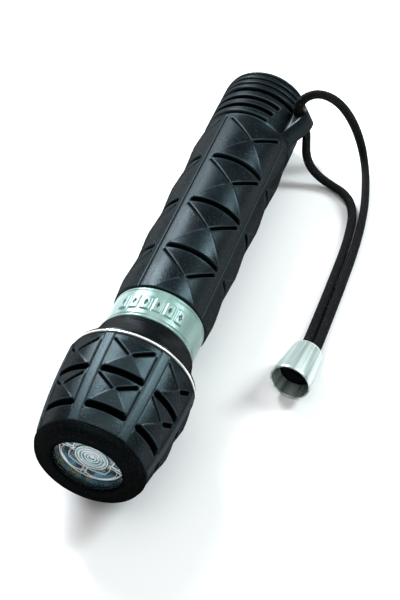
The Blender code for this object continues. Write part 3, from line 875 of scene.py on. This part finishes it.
def build_cap_grip(material):
    """The tail cap's ribbed outside and its plain end, with a shallow dish in the middle."""
    corners = [(18.8, 216.6), (20.3, 216.6, 0.5)]
    top_r, groove_r = 20.9, 20.9 - 1.3
    for front in (217.0, 220.6, 224.2):
        corners += [(top_r, front, 0.5), (top_r, front + 2.2, 0.5)]
        corners += [(groove_r, front + 2.6, 0.3), (groove_r, front + 3.2, 0.3)]
    corners += [(20.8, 227.9, 0.6), (20.3, 229.3, 1.0), (18.6, 230.0, 1.2), (14.2, 230.0, 0.3)]
    corners += [(13.8, 229.5, 0.3)]
    outline = rounded(corners) + [(0, 229.4), (0, 228.2), (18.8, 228.2)]
    mesh = turned_mesh("tail_grip", outline, sharp=50.0)
    finish_piece(mesh, material, "tail_cap", ["cap_grip"])


def build_cap_core(material):
    """The tail cap's plug, with a rounded screw thread on the part that goes into the barrel."""
    pitch, count = 3.0, 160
    turns = 2 * np.pi * np.arange(count) / count
    outer = []
    for station in fine_stations(205.6, 215.2, 0.25):
        wave = np.cos(2 * np.pi * (station / pitch - turns / (2 * np.pi)))
        fade = ease((station - 205.6) / 1.2) * ease((213.0 - station) / 1.2)
        outer.append((16.55 + 0.45 * wave * fade, station))
    for radius, station in ((16.9, 216.0), (18.5, 216.0), (18.5, 227.9), (15.0, 227.9), (15.0, 205.6)):
        outer.append((np.full(count, radius), station))
    mesh = stacked_mesh("thread_plug", outer)
    finish_piece(mesh, material, "tail_cap", ["cap_core"])
    outline = rounded([(0, 219.6), (14.9, 219.6, 0.4), (14.9, 227.8, 0.4), (0, 227.8)], 3)
    turned_piece("cap_floor", outline, material, "tail_cap")


def build_tail_seal(material):
    """The O-ring between the tail cap and the barrel."""
    middle_r, station, half_thick, sides = 18.0, 214.6, 0.55, 16
    outline = []
    for k in range(sides):
        angle = 2 * math.pi * k / sides
        outline.append((middle_r + half_thick * math.sin(angle), station - half_thick * math.cos(angle)))
    turned_piece("tail_o_ring", outline, material, "tail_seal", ["tail_seal"])


# ---- lug

def build_lug(material):
    """The lanyard lug: a swept fin with rounded edges, and the eye across it."""
    half = 4.4
    eye_station, eye_height = 212.8, 24.7
    side = rounded([
        (19.6, 196.6), (22.8, 201.6, 6.0), (26.6, 206.8, 8.0), (28.4, 211.2, 5.0), (28.4, 215.0, 2.5),
        (26.8, 218.2, 2.0), (24.0, 218.5, 1.2), (22.0, 217.4, 0.8), (21.9, 214.4, 0.4), (19.6, 213.4),
    ], 4)
    bm = bmesh.new()
    rings = []
    for x in (-half, half):
        rings.append([bm.verts.new(Vector((x, station, radius)) * MM) for radius, station in side])
        bm.faces.new(rings[-1])
    for i in range(len(side)):
        k = (i + 1) % len(side)
        bm.faces.new((rings[0][i], rings[0][k], rings[1][k], rings[1][i]))
    bmesh.ops.recalc_face_normals(bm, faces=bm.faces)
    mesh = bpy.data.meshes.new("cord_lug")
    bm.to_mesh(mesh)
    bm.free()
    turn = Matrix.Rotation(math.radians(LUG_TURN), 4, "Y")
    eye = turned_mesh("lug_eye", [(0, -9.0), (2.5, -9.0), (2.5, 9.0), (0, 9.0)], 40)
    across = Matrix.Rotation(-math.pi / 2, 4, "Z")
    eye.transform(Matrix.Translation(Vector((0, eye_station, eye_height)) * MM) @ across)
    seat_outline = [(0, 190.0), (20.9, 190.0), (20.9, 214.0), (21.3, 214.2), (21.3, 230.0), (0, 230.0)]
    seat = turned_mesh("lug_seat", seat_outline)
    lug = finish_piece(mesh, material, "handle", ["lanyard_lug"], TORCH @ turn)
    helpers = []
    for cutter_mesh in (seat, eye):
        cutter = bpy.data.objects.new(cutter_mesh.name, cutter_mesh)
        bpy.context.scene.collection.objects.link(cutter)
        cutter.matrix_world = TORCH @ turn
        helpers.append(cutter)
        knife = lug.modifiers.new(cutter.name, "BOOLEAN")
        knife.operation = "DIFFERENCE"
        knife.object = cutter
    soften = lug.modifiers.new("rounded_edges", "BEVEL")
    soften.width = 0.9 * MM
    soften.segments = 4
    soften.limit_method = "ANGLE"
    soften.angle_limit = math.radians(35)
    soften.harden_normals = True
    apply_modifiers(lug)
    for cutter in helpers:
        bpy.data.objects.remove(cutter)


def apply_modifiers(obj):
    """Keeps the mesh that the modifiers make, and removes them."""
    graph = bpy.context.evaluated_depsgraph_get()
    graph.update()
    mesh = bpy.data.meshes.new_from_object(obj.evaluated_get(graph))
    obj.modifiers.clear()
    obj.data = mesh
    mesh.shade_smooth()
    mesh.set_sharp_from_angle(angle=math.radians(45))


# ---- lanyard

def smooth_line(route, spacing):
    """Points at even distances along a Catmull-Rom curve through the route, in metres."""
    nodes = [Vector(p) for p in route]
    nodes = [2 * nodes[0] - nodes[1]] + nodes + [2 * nodes[-1] - nodes[-2]]
    dense = []
    for a, b, c, d in zip(nodes, nodes[1:], nodes[2:], nodes[3:]):
        for step in range(40):
            t = step / 40
            dense.append(0.5 * (2 * b + (c - a) * t + (2 * a - 5 * b + 4 * c - d) * t ** 2
                                + (3 * b - a - 3 * c + d) * t ** 3))
    dense.append(nodes[-2])
    dense = np.array(dense)
    steps = np.linalg.norm(np.diff(dense, axis=0), axis=1)
    along = np.concatenate([[0], np.cumsum(steps)])
    count = round(along[-1] / spacing) + 1
    wanted = np.linspace(0, along[-1], count)
    line = np.stack([np.interp(wanted, along, dense[:, axis]) for axis in range(3)], axis=-1)
    for _ in range(6):
        line[1:-1] = (line[:-2] + 2 * line[1:-1] + line[2:]) / 4
    return line, along[-1]


def carried_sides(tangents):
    """A direction across the cord at each point, carried along it and pulled gently back to level."""
    sides = np.cross(tangents, (0, 0, 1))
    sides[0] = sides[0] if np.linalg.norm(sides[0]) > 0.2 else (0.9, 0, 0.4)
    for i in range(1, len(sides)):
        carried = sides[i - 1] - tangents[i] * (sides[i - 1] @ tangents[i])
        flat = np.cross(tangents[i], (0, 0, 1))
        flat = flat * np.sign(flat @ carried)
        blended = carried / np.linalg.norm(carried) + 0.04 * flat
        blended -= tangents[i] * (blended @ tangents[i])
        sides[i] = blended / np.linalg.norm(blended)
    sides[0] = sides[1]
    return sides


def braid_crown(around, distance):
    """How high the braid stands at each point: two sets of strands cross as they wind round the cord."""
    strands, lay = 6, 9.0
    winding = 2 * np.pi * distance * strands / lay
    one = np.cos(strands * around + winding)
    two = np.cos(strands * around - winding)
    return np.maximum(one, two) * 0.5 + 0.5 * np.abs(one * two)


def braided_cord(name, route, roll, material, node):
    """A braided cord. roll turns its wide side, in degrees, at shares of its length."""
    line, length = smooth_line(route, CORD_STEP)
    tangents = np.gradient(line, axis=0)
    tangents /= np.linalg.norm(tangents, axis=1)[:, None]
    sides = carried_sides(tangents)
    ups = np.cross(sides, tangents)
    share = np.linspace(0, 1, len(line))
    turn = np.radians(np.interp(share, *zip(*roll)))[:, None]
    wide = sides * np.cos(turn) + ups * np.sin(turn)
    high = ups * np.cos(turn) - sides * np.sin(turn)
    count = 36
    around = 2 * np.pi * np.arange(count) / count
    crown = braid_crown(around[None, :], share[:, None] * length / MM)
    swell = 1 + 0.09 * (crown - 0.6)
    half_wide = CORD_WIDTH / 2 * MM * swell * np.cos(around)
    half_high = CORD_THICKNESS / 2 * MM * swell * np.sin(around)
    points = line[:, None, :] + wide[:, None, :] * half_wide[..., None]
    points = points + high[:, None, :] * half_high[..., None]
    index = np.arange(crown.size).reshape(crown.shape)
    ends = [index[0, ::-1].tolist(), index[-1].tolist()]
    mesh = bpy.data.meshes.new(name)
    mesh.from_pydata(points.reshape(-1, 3).tolist(), [], ring_faces(index) + ends)
    add_shade(mesh, "crown", np.clip(crown, 0, 1))
    mesh.shade_smooth()
    bm = bmesh.new()
    bm.from_mesh(mesh)
    bmesh.ops.recalc_face_normals(bm, faces=bm.faces)
    bm.to_mesh(mesh)
    bm.free()
    cord = finish_piece(mesh, material, "handle", [node], Matrix.Identity(4))
    path = [tuple(p) for p in line[::10]] + [tuple(line[-1])]
    return cord, path, length


def bell_matrix():
    """The bell's place: its axis from the middle of the neck, which lies between the strands. It rests on a
    flat of the 24-sided solid that it replaces, from the neck's shoulder to the flared mouth."""
    shoulder_r, shoulder = 7.3, 0.8
    mouth_r, mouth = 9.3, 18.8
    clearance, yaw = 0.05, 6.0
    flat = math.cos(math.pi / 24)
    lean = math.atan2((mouth_r - shoulder_r) * flat, mouth - shoulder)
    height = mouth_r * flat * math.cos(lean) - mouth * math.sin(lean) + clearance
    return (Matrix.Translation((0.0602, -0.0140, height * MM))
            @ Matrix.Rotation(math.radians(180 - yaw), 4, "Z")
            @ Matrix.Rotation(lean, 4, "X"))


def build_bell(material, plug_material):
    """The pale end cap of the cord, and the dark plug inside it."""
    place = bell_matrix()
    outline = rounded([
        (6.1, 0.4, 0.2), (6.5, 0.0, 0.2), (6.9, 0.0, 0.3), (7.25, 0.8, 0.8), (9.15, 18.8, 0.6),
        (9.05, 19.8, 0.25), (8.75, 20.0, 0.15), (8.3, 19.7, 0.3), (8.3, 18.6, 0.5),
    ])
    bell = turned_piece("cord_bell", outline, material, "handle", ["lanyard_bell"], 96, place)
    outline = rounded([(0, 8.0), (6.8, 8.0, 0.4), (7.4, 13.0, 0.8), (5.4, 14.2, 1.5), (2.0, 13.2, 1.0)], 4)
    outline += [(0, 13.4)]
    plug = turned_piece("bell_knot", outline, plug_material, "handle", ["bell_plug"], 72,
                        place)
    return bell, plug


def build_lanyard(materials):
    """One cord, doubled through the lug's eye: its two strands, and the bell on their ends."""
    bell, plug = build_bell(materials["bell"], materials["cord_end"])
    outer_roll = [(0, 70), (0.25, 60), (0.5, 80), (0.8, 40), (1, 10)]
    inner_roll = [(0, 0), (0.3, 20), (0.5, 75), (0.8, 40), (1, 10)]
    for name, route, roll, on_its_end in (
        ("outer_strand", OUTER_ROUTE, outer_roll, bell),
        ("inner_strand", INNER_ROUTE, inner_roll, plug),
    ):
        strand, path, length = braided_cord(name, route, roll, materials["cord"], "lanyard_" + name)


# ---- everything

def dress_inner_nodes(materials):
    """The pieces inside keep their solids and get real materials."""
    inside = {
        "rubber": ["window_seal", "neck_seal"],
        "plastic": ["head_shell", "insulator_plug"],
        "aluminium": ["barrel", "heat_sink"],
        "brass": ["switch_ring", "centre_contact"],
        "steel": ["switch_spring", "spring_plate", "tail_spring"],
        "board": ["switch_board", "led_board"],
        "phosphor": ["led_emitter"],
        "cell": ["front_cell", "rear_cell"],
    }
    for key, names in inside.items():
        for name in names:
            slots = frame["nodes"][name].data.materials
            slots.clear()
            slots.append(materials[key])


def main():
    make_camera()
    materials = {
        "rubber": rubber_material("tread_rubber", (0.0016, 0.0036, 0.0048), 0.30, 0.30, 0.52),
        "smooth_rubber": rubber_material("smooth_rubber", (0.0008, 0.0009, 0.0010), 0.50, 0.15, 0.08),
        "cord": cord_material(),
        "cord_end": rubber_material("cord_end", (0.002, 0.002, 0.002), 0.8, 0.6, 0.2),
        "plastic": gloss_plastic_material("black_plastic", (0.0016, 0.0022, 0.0025), 0.26),
        # each silver's two colours are a lit and a shaded tone, for its painted reflection bands
        "silver": silver_material("pale_lacquer", (0.22, 0.34, 0.305), (0.10, 0.185, 0.17), 0.34, 0.25),
        "bell": silver_material("bell_metal", (0.55, 0.63, 0.60), (0.20, 0.26, 0.245), 0.28, 0.50),
        "line": silver_material("bright_line", (0.95, 0.93, 0.90), (0.80, 0.80, 0.78), 0.22, 0.4),
        "mirror": mirror_material(),
        "window": window_material(),
        "lens": lens_material(),
        "aluminium": metal_material("turned_aluminium", (0.62, 0.63, 0.64), 0.30),
        "brass": metal_material("brass", (0.72, 0.53, 0.22), 0.25),
        "steel": metal_material("spring_steel", (0.60, 0.60, 0.60), 0.22),
        "board": board_material(),
        "phosphor": phosphor_material(),
        "cell": cell_material(),
    }
    build_lanyard(materials)
    make_studio()
    for build, material in (
        (build_bezel, "smooth_rubber"), (build_window, "window"), (build_reflector, "mirror"),
        (build_petals, "mirror"), (build_collimator, "lens"), (build_head_sleeve, "rubber"),
        (build_trim_ring, "line"), (build_rear_collar, "plastic"), (build_silver_ring, "silver"),
        (build_handle_sleeve, "rubber"), (build_lug, "plastic"), (build_tail_seal, "smooth_rubber"),
        (build_cap_core, "plastic"), (build_cap_grip, "rubber"),
    ):
        build(materials[material])
    dress_inner_nodes(materials)


main()
